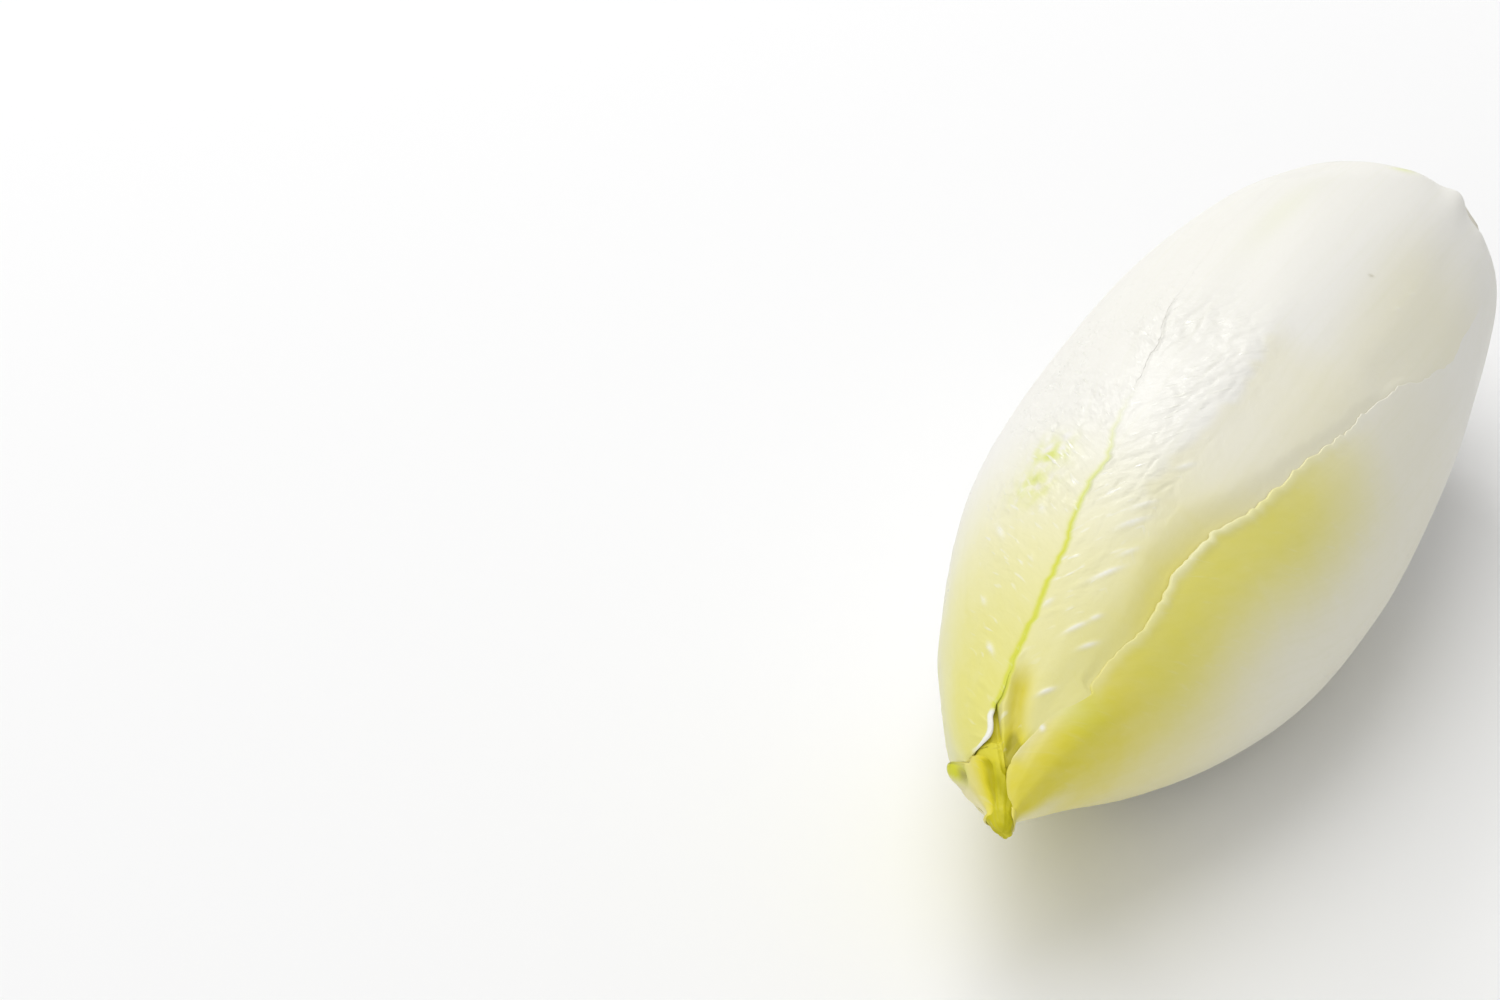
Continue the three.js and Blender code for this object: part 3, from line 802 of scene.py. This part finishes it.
def make_heart(floor):
    turn = np.arange(HEART_SIDES) * 360 / HEART_SIDES
    rows = []
    for x in np.linspace(HEART_START, HEART_END, 110):
        below, _ = beneath(LEAVES, np.full_like(turn, x), turn)
        grown = math.sqrt(smooth((x - HEART_START) / 12 + 0.03))
        closed = math.sqrt(smooth((HEART_END - x) / 20 + 0.03))
        folds = 0.5 * np.abs(noise(x / 60 + turn / 50, turn / 24, 91))
        rows.append(points_at(np.full_like(turn, x), turn, (below - 0.5 - folds) * grown * closed, floor))
    return ring_solid(np.array(rows))


def places_of(solid):
    return dict(grain=solid[0])


def cut_mark(solid):
    """How strongly each place of the stem's cut face has dried: most at its edge and in one ring."""
    x, y, z = solid[0].T
    side, up = along(AXIS, x)
    r = np.hypot(y - side, (z - up) / HEIGHT_SHARE) / STEM[1][1]
    rings = 0.25 * bell((r - 0.62) / 0.05) + 0.15 * bell((r - 0.35) / 0.04)
    face = 1 - smooth((x - 0.4) / 0.8)
    return face * np.clip(0.12 + rings + 0.55 * smooth((r - 0.72) / 0.2), 0, 1)


# Objects

def add_piece(name, node, solid, material, marks, places):
    vertices, faces = solid
    mesh = bpy.data.meshes.new(name)
    mesh.from_pydata(((vertices + find_place()) * MM).tolist(), [], faces)
    for mark, values in marks.items():
        layer = mesh.attributes.new(mark, "FLOAT", "POINT")
        layer.data.foreach_set("value", np.asarray(values, np.float32))
    for place, values in places.items():
        layer = mesh.attributes.new(place, "FLOAT_VECTOR", "POINT")
        layer.data.foreach_set("vector", np.asarray(values, np.float32).ravel())
    mesh.shade_smooth()
    mesh.set_sharp_from_angle(angle=math.radians(SHARP_FROM))
    mesh.materials.append(material)
    piece = bpy.data.objects.new(name, mesh)
    bpy.context.collection.objects.link(piece)
    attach(piece, "root")
    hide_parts(node)
    return piece


# Materials

YELLOW_MOST = 1.2  # the value of the yellow mark at the end of the colour ramp
LEAF_COLOURS = [
    (0.0, (0.875, 0.865, 0.83, 1)), (0.275, (0.85, 0.80, 0.50, 1)), (0.55, (0.82, 0.745, 0.26, 1)),
    (0.8, (0.79, 0.70, 0.08, 1)), (0.9, (0.76, 0.66, 0.03, 1)), (1.0, (0.5, 0.44, 0.0, 1)),
]
GREENISH = (0.87, 1.0, 0.75, 1)
VEIN_SHADE = (0.97, 0.975, 0.93, 1)
# painted highlight colour for glints, placed wrinkles and the turned lip
GLINT = (0.92, 0.91, 0.82, 1)
# painted shade colour for creases, also the colour of a real bruise dot
BRUISE_AND_SHADE = (0.33, 0.29, 0.13, 1)
STEM_COLOURS = [(0.3, (0.73, 0.69, 0.57, 1)), (0.6, (0.8, 0.77, 0.67, 1)), (0.8, (0.84, 0.82, 0.74, 1))]
DRIED = (0.5, 0.32, 0.16, 1)
HEART_COLOURS = [(0.3, (0.8, 0.77, 0.5, 1)), (0.7, (0.82, 0.76, 0.34, 1))]


def new_material(name):
    material = bpy.data.materials.new(name)
    material.use_nodes = True
    nodes = material.node_tree.nodes
    return material, nodes, material.node_tree.links, nodes["Principled BSDF"]


def add_texture(nodes, links, attribute, scale, detail):
    """Noise, 0 to 1, over places in mm that are stored with the mesh."""
    places = nodes.new("ShaderNodeAttribute")
    places.attribute_name = attribute
    stretch = nodes.new("ShaderNodeMapping")
    stretch.inputs["Scale"].default_value = scale
    texture = nodes.new("ShaderNodeTexNoise")
    texture.inputs["Scale"].default_value = 1.0
    texture.inputs["Detail"].default_value = detail
    links.new(places.outputs["Vector"], stretch.inputs["Vector"])
    links.new(stretch.outputs["Vector"], texture.inputs["Vector"])
    return texture.outputs["Fac"]


def add_range(nodes, links, value, low, high, to_low, to_high):
    spread_out = nodes.new("ShaderNodeMapRange")
    for name, number in zip(("From Min", "From Max", "To Min", "To Max"), (low, high, to_low, to_high)):
        spread_out.inputs[name].default_value = number
    links.new(value, spread_out.inputs["Value"])
    return spread_out.outputs["Result"]


def add_product(nodes, links, first, second):
    product = nodes.new("ShaderNodeMath")
    product.operation = "MULTIPLY"
    links.new(first, product.inputs[0])
    links.new(second, product.inputs[1])
    return product.outputs["Value"]


def add_mark(nodes, name):
    mark = nodes.new("ShaderNodeAttribute")
    mark.attribute_name = name
    return mark.outputs["Fac"]


def add_ramp(nodes, links, value, stops):
    ramp = nodes.new("ShaderNodeValToRGB")
    elements = ramp.color_ramp.elements
    while len(elements) < len(stops):
        elements.new(0.5)
    for element, (at, colour) in zip(elements, stops):
        element.position = at
        element.color = colour
    links.new(value, ramp.inputs["Fac"])
    return ramp.outputs["Color"]


def add_blend(nodes, links, kind, share, first, colour):
    blend = nodes.new("ShaderNodeMix")
    blend.data_type = "RGBA"
    blend.blend_type = kind
    blend.inputs["B"].default_value = colour
    links.new(share, blend.inputs["Factor"])
    links.new(first, blend.inputs["A"])
    return blend.outputs["Result"]


def add_bump(nodes, links, height, depth, below=None):
    bump = nodes.new("ShaderNodeBump")
    bump.inputs["Strength"].default_value = 1.0
    bump.inputs["Distance"].default_value = depth * MM
    links.new(height, bump.inputs["Height"])
    if below is not None:
        links.new(below, bump.inputs["Normal"])
    return bump.outputs["Normal"]


def leaf_material(name):
    """Waxy leaf: white to deep yellow by the yellow mark, mottled, veined and finely crinkled, with painted
    highlights on glints, placed wrinkles and the turned lip, and painted shade in creases.
    """
    material, nodes, links, shader = new_material(name)
    mottle = add_texture(nodes, links, "grain", (0.35, 0.45, 0.3), 4.0)
    patches = add_range(nodes, links, mottle, 0.3, 0.7, 0.96 / YELLOW_MOST, 1.04 / YELLOW_MOST)
    yellow = add_product(nodes, links, add_mark(nodes, "yellow"), patches)
    colour = add_ramp(nodes, links, yellow, LEAF_COLOURS)
    colour = add_blend(nodes, links, "MULTIPLY", add_mark(nodes, "green"), colour, GREENISH)
    veins = add_texture(nodes, links, "grain", (0.035, 1.3, 0.0), 3.0)
    vein_share = add_range(nodes, links, veins, 0.5, 0.75, 0.0, 0.5)
    colour = add_blend(nodes, links, "MULTIPLY", vein_share, colour, VEIN_SHADE)
    flecks = add_texture(nodes, links, "vein", (0.33, 1.15, 0.0), 1.0)
    glints = add_product(
        nodes, links, add_range(nodes, links, flecks, 0.62, 0.72, 0.0, 1.0), add_mark(nodes, "crinkled"),
    )
    # painted highlight: glint strokes on the crinkled blade are mixed toward the pale GLINT colour
    colour = add_blend(nodes, links, "MIX", glints, colour, GLINT)
    # painted highlight: the placed wrinkles and the left leaf's turned lip are mixed toward the same pale
    # colour
    colour = add_blend(nodes, links, "MIX", add_mark(nodes, "painted_highlight"), colour, GLINT)
    # painted shade in creases, and a real bruise dot, mixed toward the dark bruise colour
    colour = add_blend(nodes, links, "MIX", add_mark(nodes, "bruise_and_shade"), colour, BRUISE_AND_SHADE)
    scales = add_texture(nodes, links, "vein", (0.3, 0.55, 0.0), 2.0)
    flaky = add_product(nodes, links, scales, add_mark(nodes, "crinkled"))
    normal = add_bump(nodes, links, add_texture(nodes, links, "grain", (0.9, 1.1, 0.0), 3.0), 0.04)
    normal = add_bump(nodes, links, flaky, 0.5, normal)
    normal = add_bump(nodes, links, glints, 0.05, normal)
    links.new(normal, shader.inputs["Normal"])
    links.new(normal, shader.inputs["Coat Normal"])
    links.new(colour, shader.inputs["Base Color"])
    links.new(add_range(nodes, links, mottle, 0.3, 0.7, 0.44, 0.58), shader.inputs["Roughness"])
    links.new(add_range(nodes, links, glints, 0.0, 1.0, 0.1, 1.0), shader.inputs["Coat Weight"])
    shader.inputs["Coat Roughness"].default_value = 0.18
    shader.inputs["Specular IOR Level"].default_value = 0.2
    return material


def stem_material():
    """Trimmed stem flesh: cream, with fine rings and a dried brown edge on the cut face."""
    material, nodes, links, shader = new_material("stem")
    grain = add_texture(nodes, links, "grain", (0.5, 0.5, 0.5), 6.0)
    colour = add_ramp(nodes, links, grain, STEM_COLOURS)
    wear_and_glints = add_texture(nodes, links, "grain", (0.22, 0.22, 0.22), 3.0)
    dried = add_product(
        nodes, links, add_mark(nodes, "cut"), add_range(nodes, links, wear_and_glints, 0.3, 0.65, 0.35, 1.0),
    )
    colour = add_blend(nodes, links, "MIX", dried, colour, DRIED)
    links.new(colour, shader.inputs["Base Color"])
    links.new(add_range(nodes, links, grain, 0.3, 0.7, 0.55, 0.75), shader.inputs["Roughness"])
    pores = add_texture(nodes, links, "grain", (2.2, 2.2, 2.2), 5.0)
    links.new(add_bump(nodes, links, pores, 0.15), shader.inputs["Normal"])
    return material


def heart_material():
    """Pale yellow innermost leaves with lengthwise veins."""
    material, nodes, links, shader = new_material("heart")
    veins = add_texture(nodes, links, "grain", (0.04, 0.9, 0.9), 4.0)
    links.new(add_ramp(nodes, links, veins, HEART_COLOURS), shader.inputs["Base Color"])
    links.new(add_range(nodes, links, veins, 0.3, 0.7, 0.45, 0.6), shader.inputs["Roughness"])
    links.new(add_bump(nodes, links, veins, 0.2), shader.inputs["Normal"])
    return material


def plain_material(name, colour, roughness):
    material, _, _, shader = new_material(name)
    shader.inputs["Base Color"].default_value = colour
    shader.inputs["Roughness"].default_value = roughness
    return material


# Studio

def add_camera(place):
    data = bpy.data.cameras.new("camera")
    data.lens = LENS_MM
    data.sensor_width = SENSOR_MM
    data.sensor_fit = "HORIZONTAL"
    data.clip_start = 0.01
    data.clip_end = 20
    camera = bpy.data.objects.new("camera", data)
    start = Vector((np.array(CAMERA_FROM) + place) * MM)
    aim = Vector((np.array(CAMERA_AIM) + place) * MM)
    camera.location = start
    camera.rotation_mode = "QUATERNION"
    camera.rotation_quaternion = (aim - start).to_track_quat("-Z", "Y")
    bpy.context.collection.objects.link(camera)
    bpy.context.scene.camera = camera


def add_light(name, towards, distance, size, power, colour=(1, 1, 1)):
    data = bpy.data.lights.new(name, "AREA")
    data.shape = "DISK"
    data.size = size
    data.energy = power
    data.color = colour
    light = bpy.data.objects.new(name, data)
    direction = Vector(towards).normalized()
    light.location = direction * distance
    light.rotation_mode = "QUATERNION"
    light.rotation_quaternion = direction.to_track_quat("Z", "Y")
    bpy.context.collection.objects.link(light)


def add_studio():
    mesh = bpy.data.meshes.new("floor")
    half = 6.0
    corners = [(-half, -half, 0), (half, -half, 0), (half, half, 0), (-half, half, 0)]
    mesh.from_pydata(corners, [], [(0, 1, 2, 3)])
    mesh.materials.append(plain_material("floor", (0.91, 0.91, 0.91, 1), 0.9))
    floor = bpy.data.objects.new("floor", mesh)
    bpy.context.collection.objects.link(floor)
    world = bpy.data.worlds.new("studio")
    world.use_nodes = True
    background = world.node_tree.nodes["Background"]
    background.inputs["Color"].default_value = (1, 1, 1, 1)
    background.inputs["Strength"].default_value = 0.45
    bpy.context.scene.world = world
    add_light("key", (-0.62, -0.5, 0.61), 0.9, 0.3, 1.5)
    add_light("top", (0.0, -0.3, 0.95), 2.0, 2.0, 19.0)
    add_light("front", (0.7, 0.0, 0.7), 2.0, 2.0, 6.7)
    bpy.context.scene.view_settings.view_transform = "Standard"


def build():
    place = find_place()
    floor = -place[2]
    counts = dict(
        outer_leaf_right=140, outer_leaf_left=155, upper_leaf=160, lower_leaf=76,
        inner_leaf_left=72, inner_leaf_right=32,
    )
    for k, leaf in enumerate(LEAVES):
        solid, marks, places = make_leaf(leaf, LEAVES[:k], floor, counts[leaf["name"]])
        material = leaf_material(leaf["name"])
        add_piece(leaf["name"] + "_fine", leaf["name"], solid, material, marks, places)
    stem, heart = make_stem(floor), make_heart(floor)
    add_piece("stem_fine", "stem", stem, stem_material(), dict(cut=cut_mark(stem)), places_of(stem))
    add_piece("heart_fine", "heart", heart, heart_material(), {}, places_of(heart))
    add_studio()
    add_camera(place)


build()
